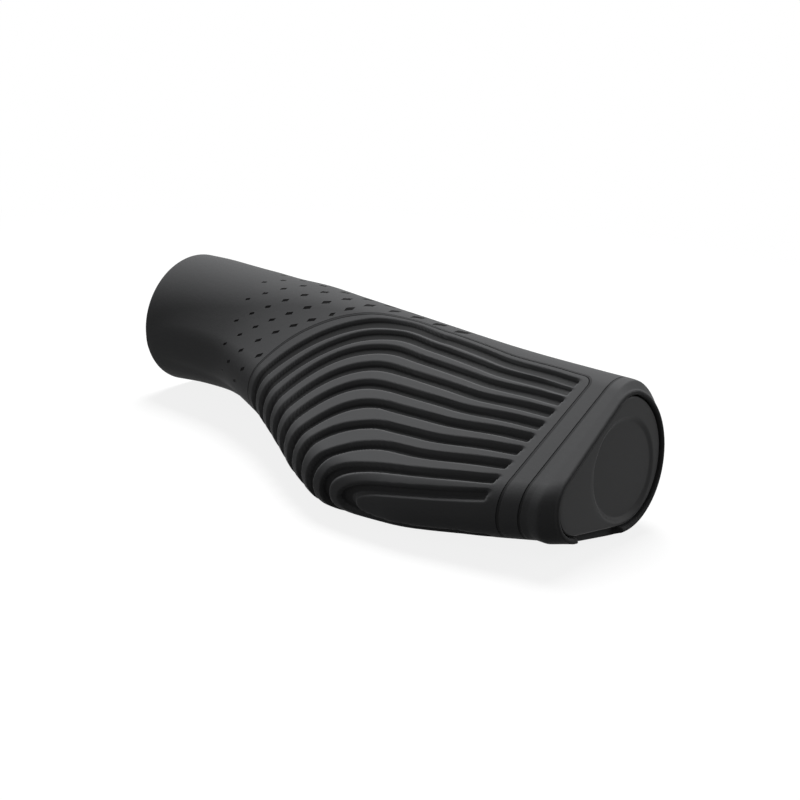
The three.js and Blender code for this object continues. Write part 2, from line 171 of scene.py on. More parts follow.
# Fineness of the end plate: counts and shares, and the place of a row below its rounded edge
PLATE_COLUMNS = 120
PLATE_EDGE_ROWS = 7
PLATE_EDGE_LEAD = 0.3
PLATE_BACK_SHARES = (0.5, 0.98, 1)
PLATE_FACE_SHARES = (0.1, 0.3, 0.5, 0.7, 0.9)
DISH_WALL_ROWS = 11
DISH_SHARES = (0.97, 0.8, 0.5, 0.2)

# Dimples
DIMPLE_START = 28.5
DIMPLE_END = 84.0
CREST_ROW = math.radians(80)
FRONT_ROWS = 4
BACK_ROWS = 10
DIMPLE_MARGIN = 0.95
DIMPLE_PITCH = 6.4
DIMPLE_ROW_ANGLE = math.radians(11.2)
DIMPLE_LENGTH = 1.6
DIMPLE_WIDTH = 0.9
DIMPLE_DEPTH = 0.6
DIMPLE_SLANT = 0.45
DIMPLE_FIRST = 0.62
DIMPLE_GROWTH = 0.0208
DIMPLE_DRIFT = 0.192
DRIFT_SPAN = (33, 70)
DIMPLE_LATE_DRIFT = 0.075
LATE_DRIFT_SPAN = (58, 72)
DIMPLE_EDGE = (-0.1, 0.05)

# Painted shade and light of the grooves. The painted shadow on the dark upper part is told by
# distance outside the groove and above its middle, and the painted highlight on the pale lower
# lip by distance from the lip's place. Rows of four are the start and end of a stretch along the
# bar, and the values there.
SHADOW_EDGE = (-0.35, -0.08)
SHADOW_SIDE = (-0.75, -0.25)
SHADOW_SHIFT = (55, 95, 0.45, 0.0)
SHADOW_SHARE = (65, 112, 0.88, 0.5)
LIP_HIGHLIGHT_PLACE = 0.05
LIP_HIGHLIGHT_LINE = (0.04, 0.2)
LIP_HIGHLIGHT_SHARE = (50, 80, 0.12, 0.3)
COLLAR_LINE = (0.1, 0.36)
LINE_SHARE = 0.55

# Tones: the darker and the paler of each material, then those of the rubber's details: the
# painted highlight on the grooves' lips, the painted shadow in the grooves, the fine lines and
# the painted shade in the dimples
SKIN_TONES = (0.040, 0.052)
INSIDE_TONES = (0.034, 0.046)
PLATE_TONES = (0.034, 0.042)
LIP_HIGHLIGHT_TONE = 0.11
SHADOW_TONE = 0.010
LINE_TONE = 0.008
POCKET_SHADE_TONE = 0.001
TINT = (1.0, 1.01, 1.035)

# Studio, in metres, but FLOOR_WHITE in millimetres: the floor, lamps by name, place, size and
# power, and the camera as it was fitted to the photo
FLOOR_HALF = 3.0
FLOOR_WHITE = (110, 260)
FLOOR_MATT = 0.05
FLOOR_DIM = 0.1
FLOOR_GLOW = 0.85
SURROUND = 0.13
WHITE = (1, 1, 1, 1)
LAMPS = [("overhead_softbox", (-0.13, 0.26, 0.72), 0.4, 14.4),
         ("front_fill", (-0.2, -0.7, 0.25), 0.6, 1.6),
         ("end_fill", (0.36, 0.3, 0.16), 0.2, 0.46)]
LAMP_TARGET = (0.065, -0.01, 0.0)
CAMERA_LENS = 67.5
CAMERA_SENSOR = 36.0
CAMERA_RIGHT = (0.7501, 0.6590, 0.0553)
CAMERA_UP = (-0.2584, 0.2150, 0.9418)
CAMERA_BACK = (0.6087, -0.7208, 0.3316)
CAMERA_PLACE = (0.2743, -0.2426, 0.1083)

# How the section changes along the grip: rows of share of the length, value. Reach is a share
# of WING_REACH, barrel and lift of BARREL_RADIUS, crest and tail of the local radius.
REACH = [(0, 0), (0.14, 0.023), (0.2, 0.035), (0.26, 0.09), (0.325, 0.19), (0.385, 0.35),
         (0.46, 0.58), (0.54, 0.825), (0.63, 1), (0.74, 0.94), (0.86, 0.7), (0.97, 0.42)]
BARREL = [(0, 1), (0.154, 0.961), (0.33, 1.06), (0.5, 1.036), (0.76, 0.993), (0.97, 1.029)]
LIFT = [(0, 0), (0.077, 0.058), (0.17, 0.081), (0.26, 0.028), (0.385, 0)]
CREST = [(0, 0.999), (0.185, 0.9), (0.46, 0.59), (0.97, 0.537)]
TAIL = [(0, 0.75), (0.23, 0.56), (0.46, 0.415), (0.97, 0.425)]

# Grooves from the outermost in: crest place, crest height and end height as shares of the
# panel's length, height and end height, the fullness of the bend and the power of the fall.
GROOVES = [(0.527, 0.952, 0.935, 1.5, 1.5),
           (0.515, 0.886, 0.873, 1.58, 1.55),
           (0.517, 0.801, 0.797, 1.8, 1.6),
           (0.523, 0.706, 0.71, 1.9, 1.7),
           (0.525, 0.605, 0.618, 1.92, 2.0),
           (0.534, 0.503, 0.527, 1.65, 2.35),
           (0.588, 0.397, 0.433, 2.05, 2.4),
           (0.654, 0.295, 0.334, 1.9, 2.1),
           (0.78, 0.191, 0.233, 2.6, 1.3),
           (0.84, 0.1, 0.139, 2.6, 1.3)]
BORDER = (0.52, 1.008, 1.007, 1.8, 1.5)
BORDER_BOW = 1.7


def curve_through(table, share):
    """Smooth curve through a table's rows: cubic pieces whose slope at a row is the harmonic
    mean of the straight slopes on its two sides, so nothing overshoots."""
    at, value = np.array(table, float).T
    secant = np.diff(value) / np.diff(at)
    before = np.concatenate([secant[:1], secant])
    after = np.concatenate([secant, secant[-1:]])
    same = before * after > 0
    slope = np.where(same, 2 * before * after / np.where(same, before + after, 1), 0)
    share = np.clip(share, at[0], at[-1])
    i = np.clip(np.searchsorted(at, share, side="right") - 1, 0, len(at) - 2)
    span = at[i + 1] - at[i]
    t = (share - at[i]) / span
    rise = t * t * (3 - 2 * t)
    bends = slope[i] * t * (1 - t) ** 2 + slope[i + 1] * t * t * (t - 1)
    return value[i] * (1 - rise) + value[i + 1] * rise + bends * span


def ramp(value, low, high):
    """Smooth step: 0 below low, 1 above high, 3t^2 - 2t^3 between them."""
    t = np.clip((value - low) / (high - low), 0, 1)
    return t * t * (3 - 2 * t)


def direction(angle):
    """Unit vectors in the cross section: the cosine along Y and the sine along Z."""
    return np.stack([np.cos(angle), np.sin(angle)], -1)


class Teardrop:
    """Closed outlines, one for each row of sizes: a front arc about the bar, a tighter crest
    arc, a straight facet, a tail arc and a straight sole, each tangent to the next."""

    def __init__(self, rise, radius, reach, tail, crest, crest_angle, grow=0.0):
        rise, radius, reach, tail, crest = (np.atleast_1d(np.asarray(sizes, float))[:, None]
                                            for sizes in (rise, radius, reach, tail, crest))
        self.radius, self.tail, self.crest = radius + grow, tail + grow, crest + grow
        self.crest_angle = crest_angle
        self.middle = np.stack([0 * rise, rise], -1)
        out = (radius - tail + np.maximum(reach, LEAST_REACH))[..., None]
        self.tail_centre = self.middle + out * direction(TAIL_DIRECTION)
        self.crest_centre = self.middle + (radius - crest)[..., None] * direction(crest_angle)
        self.facet = self.tangent(self.crest_centre, self.crest, -1)
        self.sole = self.tangent(self.middle, self.radius, 1)
        self.facet_ends = (self.crest_centre + self.crest[..., None] * direction(self.facet),
                           self.tail_centre + self.tail[..., None] * direction(self.facet))
        self.sole_ends = (self.tail_centre + self.tail[..., None] * direction(self.sole),
                          self.middle + self.radius[..., None] * direction(self.sole))
        self.over_parts = [self.radius * (crest_angle - WING_DROOP),
                           self.crest * np.maximum(self.facet - crest_angle, 0),
                           np.linalg.norm(self.facet_ends[1] - self.facet_ends[0], axis=-1),
                           self.tail * (TAIL_DIRECTION - self.facet)]
        self.under_parts = [self.tail * (self.sole - TAIL_DIRECTION),
                            np.linalg.norm(self.sole_ends[1] - self.sole_ends[0], axis=-1),
                            self.radius * (2 * math.pi + WING_DROOP - self.sole)]
        self.over_length = sum(self.over_parts)
        self.under_length = sum(self.under_parts)

    def tangent(self, centre, radius, side):
        """Direction of the common tangent's normal: the line of centres turned by the angle
        whose cosine is the difference of the radii over their distance."""
        gap = self.tail_centre - centre
        far = np.linalg.norm(gap, axis=-1)
        toward = np.arctan2(gap[..., 1], gap[..., 0]) % (2 * math.pi)
        return toward + side * np.arccos(np.clip((radius - self.tail) / far, -1, 1))

    def walk(self, run, parts, shapes):
        """The point at a distance along the parts, each an arc or a straight."""
        run = np.clip(run, 0, sum(parts))[..., None]
        starts = np.cumsum([np.zeros_like(parts[0])] + parts, axis=0)[..., None]
        points, inside = [], []
        for start, part, shape in zip(starts, parts, shapes):
            points.append(shape(run - start, part[..., None]))
            inside.append(run <= start + part[..., None])
        inside[-1] = np.ones_like(inside[-1])
        shape = np.broadcast_shapes(*(p.shape for p in points))
        return np.select([np.broadcast_to(i, shape) for i in inside],
                         [np.broadcast_to(p, shape) for p in points])

    @staticmethod
    def arc(centre, radius, start):
        """The point at a distance along an arc from its starting angle."""
        return lambda run, part: (
            centre + radius[..., None] * direction(start + run[..., 0] / radius))

    @staticmethod
    def straight(ends):
        """The point at a distance along a straight."""
        return lambda run, part: ends[0] + (ends[1] - ends[0]) * run / np.maximum(part, 1e-9)

    def over(self, run):
        """The point at a distance from the front, over the top."""
        return self.walk(run, self.over_parts, [
            self.arc(self.middle, self.radius, WING_DROOP),
            self.arc(self.crest_centre, self.crest, self.crest_angle),
            self.straight(self.facet_ends),
            self.arc(self.tail_centre, self.tail, self.facet)])

    def under(self, run):
        """The point at a distance from the wing's edge, underneath."""
        return self.walk(run, self.under_parts, [
            self.arc(self.tail_centre, self.tail, TAIL_DIRECTION),
            self.straight(self.sole_ends),
            self.arc(self.middle, self.radius, self.sole)])

    def ring(self, over_share, under_share):
        """Rows of points round the outline, by share over the top and then underneath."""
        return np.concatenate([self.over(self.over_length * over_share),
                               self.under(self.under_length * under_share)], axis=1)


def skin_sizes(x):
    """The sizes of the skin's outline at places along the bar, from the tables."""
    share = np.asarray(x, float) / LENGTH
    radius = BARREL_RADIUS * curve_through(BARREL, share)
    return {"rise": BARREL_RADIUS * curve_through(LIFT, share), "radius": radius,
            "reach": WING_REACH * curve_through(REACH, share),
            "tail": radius * curve_through(TAIL, share),
            "crest": radius * curve_through(CREST, share), "crest_angle": CREST_ANGLE}


def cap_outline(grow):
    """The end plate's outline, grown by an amount: the skin's own at its end, drawn in, but
    fuller at the tail and the crest."""
    skin = skin_sizes([SKIN_END])
    skin["reach"] = skin["reach"] - REACH_CUT
    skin["tail"] = skin["tail"] - CAP_INSET + TAIL_EXTRA_RADIUS
    skin["crest"] = skin["crest"] - CAP_INSET + CREST_EXTRA_RADIUS
    skin["radius"] = skin["radius"] - CAP_INSET
    skin["crest_angle"] = CAP_CREST_ANGLE
    return Teardrop(**skin, grow=grow)


def lean(points):
    """The end face's lean: x moves inboard by END_RAKE for each millimetre of height."""
    leant = points.copy()
    leant[..., 0] -= END_RAKE * (points[..., 2] - END_LEVEL)
    return leant


def at_x(x, yz):
    """Points of an outline placed at x, which may vary along the rows."""
    x = np.broadcast_to(np.asarray(x, float), yz.shape[:-1])
    return np.concatenate([x[..., None], yz], -1)


def bevel_drop(run):
    """The shoulder's share of its drop at a share of its length: a nearly flat lead up to the
    crease and an even bevel after it, joined by a hyperbola."""
    def bent(r):
        return r - SHOULDER_CREASE + np.hypot(r - SHOULDER_CREASE, SHOULDER_ROUND)
    even = (bent(run) - bent(0.0)) / (bent(1.0) - bent(0.0))
    return SHOULDER_LEAD * run + (1 - SHOULDER_LEAD) * even


def panel_x(share):
    return PANEL_START + share * (PANEL_END - PANEL_START)


def unfolded(height):
    """The height over the wing that a height under it mirrors, and how fast one changes with
    the other: underneath, h over the top lies at h - c h^2, so h is (1 - sqrt(1 - 4 c d)) / 2c
    at a distance d below."""
    below = np.clip(-height, 0, UNDER_LIMIT)
    mirrored = (1 - np.sqrt(1 - 4 * UNDERSIDE_DRAW * below)) / (2 * UNDERSIDE_DRAW)
    stretch = 1 - 2 * UNDERSIDE_DRAW * mirrored
    over = height >= 0
    return np.where(over, height, mirrored), np.where(over, 1, stretch)


def line_distance(x, height, stretch, row, foot, end):
    """Signed distance to a panel line, positive above it. Inboard of its crest the line is
    a^2 + b^n = 1, with a and b the shares of its half length and its height, and the distance is
    the left side's nth root less 1, over its slope. Outboard the line falls by a share of the
    drop to the line's own power."""
    crest, rise, low, fullness, power = row
    crest_x = panel_x(crest)
    rise = rise * PANEL_HEIGHT
    drop = rise - low * PANEL_END_HEIGHT
    half = crest_x - foot
    a = (crest_x - x) / half
    b = np.maximum(height / rise, 1e-6)
    total = a * a + b ** fullness
    size = total ** (1 / fullness)
    slope_x = 2 * a / half / fullness * size / total
    slope_h = b ** (fullness - 1) / rise / stretch * size / total
    bow = (size - 1) / np.maximum(np.hypot(slope_x, slope_h), 1e-4)
    t = np.clip((x - crest_x) / (end - crest_x), 0, 2)
    steep = power * drop * np.maximum(t, 1e-6) ** (power - 1) / (end - crest_x)
    fall = (height - rise + drop * t ** power) * stretch / np.hypot(1, steep * stretch)
    return np.where(x < crest_x, bow, fall)


def column_shares(x, over_length, under_length):
    """Where the grid's columns run, as shares over the top and underneath. Over the panel they
    keep to a share of the way round inboard, pass to a height of the panel's at its crest, and
    outboard of that fall as its lines do, by a share of the drop to a power."""
    top = COLUMN_TOP * PANEL_HEIGHT
    level = np.linspace(top, 0, OVER_COLUMNS, endpoint=False)[None]
    crests, rises, lows, _, powers = np.array(GROOVES)[::-1].T
    rises = rises * PANEL_HEIGHT
    drop = np.interp(level, rises, 1 - lows * PANEL_END_HEIGHT / rises)
    crest_x = panel_x(np.interp(level, rises, crests))
    fall = (np.maximum(x - crest_x, 0) / (RIB_END - crest_x)) ** np.interp(level, rises, powers)
    inboard = ramp(x, crest_x, COLUMN_BEND)
    size = inboard * COLUMN_SPREAD * over_length / top + 1 - inboard
    heights = level * size * (1 - drop * fall)
    shares = 1 - heights / over_length
    over = np.concatenate([spread((0, 1, FRONT_COLUMNS))[None] * shares[:, :1], shares], 1)
    under = spread((0, UNDER_SPREAD, UNDER_COLUMNS), (UNDER_SPREAD, 1, FRONT_COLUMNS))[None]
    return over, np.broadcast_to(under, (len(x), under.shape[1]))


def groove_depth(x, height):
    """Depth of the palm panel's grooves, the distance outside the nearest, and the distance above
    its middle. Each is a rounded box in distance across its line and distance along the bar,
    with a steep upper wall and a sloping lower one. Its depth is a smooth step of the distance
    outside the box, and the deepest counts."""
    over, stretch = unfolded(height)
    fade = ramp(stretch, *GROOVE_FADE)
    depth = np.zeros_like(over)
    nearest = np.full_like(over, FAR_OUTSIDE)
    above_middle = np.zeros_like(over)
    for i, row in enumerate(GROOVES):
        widening = TONGUE_GAP if i == len(GROOVES) - 1 else 0.0
        foot = PANEL_START + FIRST_GROOVE + GROOVE_PITCH * i + widening / 2
        across = line_distance(x, over, stretch, row, foot, RIB_END)
        wide = GROOVE_WIDTH + widening * ramp(-over, -TONGUE_BEND * row[1] * PANEL_HEIGHT, 0)
        deep = min(OUTER_GROOVE_DEPTH + GROOVE_STEP_DEPTH * i, GROOVE_DEPTH)
        wall = np.where(across > 0, UPPER_WALL, LOWER_WALL)
        side = np.abs(across) - (wide / 2 - GROOVE_CORNER)
        tip = x - (RIB_END - GROOVE_CORNER)
        outside = (np.hypot(np.maximum(side, 0), np.maximum(tip, 0))
                   + np.minimum(np.maximum(side, tip), 0) - GROOVE_CORNER)
        depth = np.maximum(depth, deep * ramp(-outside, -GROOVE_FOOT, wall - GROOVE_FOOT))
        above_middle = np.where(outside < nearest, across, above_middle)
        nearest = np.minimum(nearest, outside)
    return depth * fade, nearest + FADE_DISTANCE * (1 - fade), above_middle


def closed_grid(rows, columns, looped):
    """Corner indices of the quads of a grid that closes round its columns, and round its rows
    too where looped."""
    i = np.arange(rows if looped else rows - 1)[:, None]
    j = np.arange(columns)[None, :]
    below, beside = (i + 1) % rows, (j + 1) % columns
    return np.stack([i * columns + j, below * columns + j,
                     below * columns + beside, i * columns + beside], -1).reshape(-1, 4)


def mesh_object(name, points, quads, triangles, finishes):
    """A smooth mesh object at the origin from arrays of points, in millimetres, and corners."""
    mesh = bpy.data.meshes.new(name)
    mesh.vertices.add(len(points))
    mesh.vertices.foreach_set("co", (points * MM).astype(np.float32).ravel())
    corners = np.concatenate([quads.ravel(), triangles.ravel()]).astype(np.int32)
    starts = np.concatenate([np.arange(len(quads)) * 4,
                             len(quads) * 4 + np.arange(len(triangles)) * 3]).astype(np.int32)
    mesh.loops.add(len(corners))
    mesh.loops.foreach_set("vertex_index", corners)
    mesh.polygons.add(len(starts))
    mesh.polygons.foreach_set("loop_start", starts)
    mesh.polygons.foreach_set("use_smooth", np.ones(len(starts), bool))
    mesh.update(calc_edges=True)
    for finish in finishes:
        mesh.materials.append(finish)
    made = bpy.data.objects.new(name, mesh)
    bpy.context.scene.collection.objects.link(made)
    return made


def spread(*stretches):
    """Values along several stretches in turn, each given as its start, end and count."""
    return np.concatenate([np.linspace(a, b, n, endpoint=False) for a, b, n in stretches])


class Skin:
    """The outer surface from the inboard edge to the shoulder, as a grid with its grooves cut:
    its points, the columns' shares of the way round, the heights, and what the grooves' shading
    needs. The grooves are cut along the smooth surface's normal, the cross product of the
    grid's two directions."""

    def __init__(self):
        stations = np.append(spread(*STATIONS), SKIN_END)[:, None]
        outline = Teardrop(**skin_sizes(stations[:, 0]))
        self.over_share, self.under_share = column_shares(
            stations, outline.over_length, outline.under_length)
        self.loop_share = np.concatenate([self.over_share, 1 + self.under_share], axis=1) / 2
        self.heights = np.concatenate([outline.over_length * (1 - self.over_share),
                                       -outline.under_length * self.under_share], axis=1)
        self.lowest_heights = -outline.under_length[:, 0]
        yz = outline.ring(self.over_share, self.under_share)
        smooth = at_x(stations, yz)
        along = np.gradient(smooth, axis=0)
        around = np.roll(smooth, -1, axis=1) - np.roll(smooth, 1, axis=1)
        normal = np.cross(around, along)
        normal /= np.linalg.norm(normal, axis=-1, keepdims=True)
        from_middle = yz - yz.mean(axis=1, keepdims=True)
        normal *= np.sign(np.sum(normal[..., 1:] * from_middle, axis=-1).mean())
        depth, self.nearest, self.above_middle = groove_depth(smooth[..., 0], self.heights)
        self.points = smooth - normal * depth[..., None]


def plate_ring(skin, grow, x):
    """A ring of the end plate's outline, grown by an amount, at x on the leaning end."""
    return lean(at_x(x, cap_outline(grow).ring(skin.over_share[-1], skin.under_share[-1])))


def round_ring(skin, radius, x):
    """A ring about the bar axis. Its columns' angles pass evenly from those of the skin's
    inboard end to those of its outboard end."""
    first, last = skin.loop_share[:1], skin.loop_share[-1:]
    share = first + (last - first) * x / RECESS_FLOOR
    return at_x(x, radius * direction(WING_DROOP + 2 * math.pi * share))


def mouth(skin):
    """The shoulder's bevel, the lip and the recess's wall, drawn back where the notch is, and
    the number of rows outside the recess."""
    bevel_end = plate_ring(skin, SEAT_CLEARANCE + LIP_THICKNESS, LIP_EDGE)[0]
    run = spread((0, 1, BEVEL_ROWS))[1:, None, None]
    start = skin.points[-1]
    bevel = start + (bevel_end - start) * bevel_drop(run)
    bevel[..., 0] = start[:, 0] + (bevel_end[:, 0] - start[:, 0]) * run[..., 0]
    turn = np.linspace(0, math.pi, LIP_ROWS)
    lip = [plate_ring(skin, SEAT_CLEARANCE + LIP_THICKNESS / 2 * (1 + math.cos(t)),
                      LIP_EDGE + LIP_ROUND * math.sin(t)) for t in turn]
    wall = [plate_ring(skin, SEAT_CLEARANCE, RECESS_FLOOR + rise) for rise in RECESS_ROWS]
    points = np.concatenate([bevel] + lip + wall)
    level = points[..., 0] + END_RAKE * (points[..., 2] - END_LEVEL)
    gap = ramp(NOTCH_WIDTH / 2 - np.abs(points[..., 1] - NOTCH_OFFSET), -NOTCH_SIDE, NOTCH_SIDE)
    points[..., 0] -= np.maximum(level - LENGTH + NOTCH_DEPTH * gap, 0) * (points[..., 2] < 0)
    return points, len(bevel) + len(lip)


def recess_and_bore(skin):
    """The recess's floor, then the bore from its blind end to the lead-in."""
    outer = plate_ring(skin, SEAT_CLEARANCE, RECESS_FLOOR)
    inner = lean(round_ring(skin, BORE_RADIUS, RECESS_FLOOR))
    return np.concatenate(
        [outer + (inner - outer) * share for share in FLOOR_SHARES]
        + [lean(round_ring(skin, BORE_RADIUS, RECESS_FLOOR - SUPPORT))]
        + [round_ring(skin, BORE_RADIUS, x) for x in BORE_STATIONS]
        + [round_ring(skin, BORE_RADIUS + BORE_LEAD_IN, x) for x in LEAD_IN_STATIONS])


def inboard_face(skin):
    """The flat ring round the bore's mouth, and the quarter round at its outer edge."""
    turn = np.linspace(0, math.pi / 2, EDGE_ROWS)[:-1]
    insets = [FACE_INSET, *(EDGE_ROUND * (1 - np.sin(turn)))]
    places = [0, *(EDGE_ROUND * (1 - np.cos(turn)))]
    return np.concatenate([
        at_x(x, Teardrop(**skin_sizes([x]), grow=-inset).ring(
            skin.over_share[0], skin.under_share[0]))
        for inset, x in zip(insets, places)])


def store_for_shading(body, points, quads, skin):
    """Stores x and the height on the skin as a UV map, in units of UV_UNIT, and the two values
    of the grooves' shading. Rows beyond the skin repeat its last heights and lie far from a
    groove. The last column's faces end at the lowest height, not at the first column's."""
    rows, columns = points.shape[:2]
    skin_rows = len(skin.heights)
    tall = np.concatenate([skin.heights, np.repeat(skin.heights[-1:], rows - skin_rows, axis=0)])
    beside = np.roll(tall, -1, axis=1)
    beside[:skin_rows, -1] = skin.lowest_heights
    beside[skin_rows:, -1] = tall[-1, -1]
    following = (np.arange(rows) + 1) % rows
    height_at = np.stack([tall, tall[following], beside[following], beside], -1).reshape(-1)
    x_at = points.reshape(-1, 3)[quads.ravel(), 0]
    uv = np.stack([x_at, height_at], -1) / UV_UNIT
    body.data.uv_layers.new(name="skin").data.foreach_set("uv", uv.astype(np.float32).ravel())
    beyond = np.full((rows - skin_rows, columns), FAR_OUTSIDE)
    for name, values in (("groove", skin.nearest), ("groove_side", skin.above_middle)):
        values = np.concatenate([values, beyond]).astype(np.float32).ravel()
        body.data.attributes.new(name, "FLOAT", "POINT").data.foreach_set("value", values)


def grip_body(finishes):
    """The moulded body as one grid that closes both ways: the skin with its grooves, the
    shoulder and the lip, the recess, the bore and the inboard face. The rows of the recess and
    the bore take the second finish."""
    skin = Skin()
    end, outer_rows = mouth(skin)
    face = inboard_face(skin)
    points = np.concatenate([skin.points, end, recess_and_bore(skin), face])
    rows, columns = points.shape[:2]
    quads = closed_grid(rows, columns, looped=True)
    body = mesh_object("grip_rubber_body", points.reshape(-1, 3), quads,
                       np.zeros((0, 3), int), finishes)
    store_for_shading(body, points, quads, skin)
    row = np.repeat(np.arange(rows), columns)
    inside = (row >= len(skin.points) + outer_rows) & (row < rows - len(face))
    body.data.polygons.foreach_set("material_index", inside.astype(np.int32))
    body.data.update()
    return body


def end_cap(finishes):
    """The end plate as one grid from pole to pole: hollow ring, back, rounded edge, face and
    dish. The dish's wall is a smooth step, and its floor is deeper toward the wing."""
    share = spread((0, 1, PLATE_COLUMNS))
    turns = 2 * math.pi * np.concatenate([share, 1 + share]) / 2

    def disc(radius, x, drop=0.0):
        return at_x(x, radius * direction(WING_DROOP + turns)[None] - np.array([0, drop]))

    def plate(grow, x):
        return at_x(x, cap_outline(grow).ring(share, share))

    outside = BORE_RADIUS - SEAT_CLEARANCE
    hollow = outside - RING_WALL
    ring_end = PLATE_BACK - RING_LENGTH
    back = [disc(hollow * s, PLATE_BACK) for s in PLATE_BACK_SHARES]
    back += [disc(hollow, x) for x in (PLATE_BACK - SUPPORT, ring_end + SUPPORT, ring_end)]
    back += [disc(outside, x)
             for x in (ring_end, ring_end + SUPPORT, PLATE_BACK - SUPPORT, PLATE_BACK)]
    back += [plate(-SUPPORT, PLATE_BACK), plate(0, PLATE_BACK), plate(0, PLATE_BACK + SUPPORT),
             plate(0, PLATE_FACE - PLATE_EDGE - PLATE_EDGE_LEAD)]
    edge = [plate(-PLATE_EDGE * (1 - math.cos(t)), PLATE_FACE - PLATE_EDGE * (1 - math.sin(t)))
            for t in np.linspace(0, math.pi / 2, PLATE_EDGE_ROWS)]
    rim = disc(DISH_RADIUS + DISH_WALL, PLATE_FACE, DISH_DROP)
    face = [edge[-1] + (rim - edge[-1]) * s for s in PLATE_FACE_SHARES]
    slope = np.linspace(0, 1, DISH_WALL_ROWS)
    radii = [*(DISH_RADIUS + DISH_WALL * (1 - 2 * slope)),
             *((DISH_RADIUS - DISH_WALL) * np.array(DISH_SHARES))]
    sunk = [*ramp(slope, 0, 1), *np.ones(len(DISH_SHARES))]
    dish = []
    for radius, down in zip(radii, sunk):
        ring = disc(radius, PLATE_FACE, DISH_DROP)
        ring[..., 0] -= down * (DISH_DEPTH - DISH_TILT * ring[..., 1])
        dish.append(ring)
    grid = lean(np.concatenate(back + edge + face + dish))
    rows, columns = grid.shape[:2]
    poles = lean(np.array([[PLATE_BACK, 0, 0], [PLATE_FACE - DISH_DEPTH, 0, -DISH_DROP]]))
    first = np.arange(columns)
    beside = (first + 1) % columns
    last = (rows - 1) * columns
    back_fan = np.stack([np.full(columns, rows * columns), first, beside], -1)
    dish_fan = np.stack([last + first, np.full(columns, rows * columns + 1), last + beside], -1)
    return mesh_object("end_plate", np.concatenate([grid.reshape(-1, 3), poles]),
                       closed_grid(rows, columns, looped=False),
                       np.concatenate([back_fan, dish_fan]), finishes)


class Wire:
    """A value on its way between shader nodes. Arithmetic on it adds Math nodes."""

    def __init__(self, graph, socket):
        self.graph, self.socket = graph, socket

    def math(self, operation, *others):
        return self.graph.math(operation, self, *others)

    def __add__(self, other):
        return self.math("ADD", other)

    def __sub__(self, other):
        return self.math("SUBTRACT", other)

    def __rsub__(self, other):
        return self.graph.math("SUBTRACT", other, self)

    def __mul__(self, other):
        return self.math("MULTIPLY", other)

    def __truediv__(self, other):
        return self.math("DIVIDE", other)

    def __pow__(self, other):
        return self.math("POWER", other)

    def __neg__(self):
        return self.math("MULTIPLY", -1)

    def __abs__(self):
        return self.math("ABSOLUTE")

    def sqrt(self):
        return self.math("SQRT")

    def over(self, limit):
        """1 where the value is greater than the limit."""
        return self.math("GREATER_THAN", limit)

    def under(self, limit):
        """1 where the value is less than the limit."""
        return self.math("LESS_THAN", limit)

    def most(self, other):
        return self.math("MAXIMUM", other)

    def least(self, other):
        return self.math("MINIMUM", other)

    def ramp(self, low, high, start=0.0, end=1.0):
        """Smooth step from start at low to end at high."""
        return self.graph.node("MapRange", {"interpolation_type": "SMOOTHSTEP"}, {
            "Value": self, "From Min": low, "From Max": high, "To Min": start, "To Max": end})


class Graph:
    """The node tree of a material or a world, built from expressions."""

    def __init__(self, owner):
        self.owner = owner
        owner.use_nodes = True
        self.tree = owner.node_tree
        self.tree.nodes.clear()

    def node(self, kind, settings, sockets, output=0):
        """A node, with its settings and its sockets' values or wires, and one output's wire."""
        made = self.tree.nodes.new("ShaderNode" + kind)
        for key, value in settings.items():
            setattr(made, key, value)
        for key, value in sockets.items():
            if isinstance(value, Wire):
                self.tree.links.new(value.socket, made.inputs[key])
            else:
                made.inputs[key].default_value = value
        return Wire(self, made.outputs[output]) if len(made.outputs) else None

    def math(self, operation, *values):
        return self.node("Math", {"operation": operation}, dict(enumerate(values)))

    def coordinates(self):
        """Object coordinates as a vector, and as three values in millimetres."""
        place = self.node("TexCoord", {}, {}, "Object")
        parts = [self.node("SeparateXYZ", {}, {0: place}, axis) * 1000 for axis in range(3)]
        return place, parts

    def stored(self, name):
        """A value stored on the mesh's points."""
        return self.node("Attribute", {"attribute_name": name}, {}, "Fac")

    def noise(self, place, size, detail=2.0, roughness=0.5):
        """Noise about 0, between about -1 and 1, with features size millimetres across."""
        raw = self.node("TexNoise", {"noise_dimensions": "3D"}, {
            "Vector": place, "Scale": 1000 / size, "Detail": detail, "Roughness": roughness})
        return raw * 2 - 1

    def mix(self, share, first, second):
        """A colour between two."""
        return self.node("Mix", {"data_type": "RGBA"}, {0: share, 6: first, 7: second}, 2)

    def surface(self, colour, roughness, height, specular):
        """A principled surface with its height, in metres, through a Bump node."""
        normal = self.node("Bump", {}, {"Strength": 1.0, "Distance": 1.0, "Height": height})
        shader = self.node("BsdfPrincipled", {}, {
            "Base Color": colour, "Roughness": roughness, "Normal": normal,
            "Specular IOR Level": specular})
        self.node("OutputMaterial", {}, {0: shader})
        return self.owner


def new_material(name):
    return Graph(bpy.data.materials.new(name))


def tone(value):
    return (value * TINT[0], value * TINT[1], value * TINT[2], 1.0)


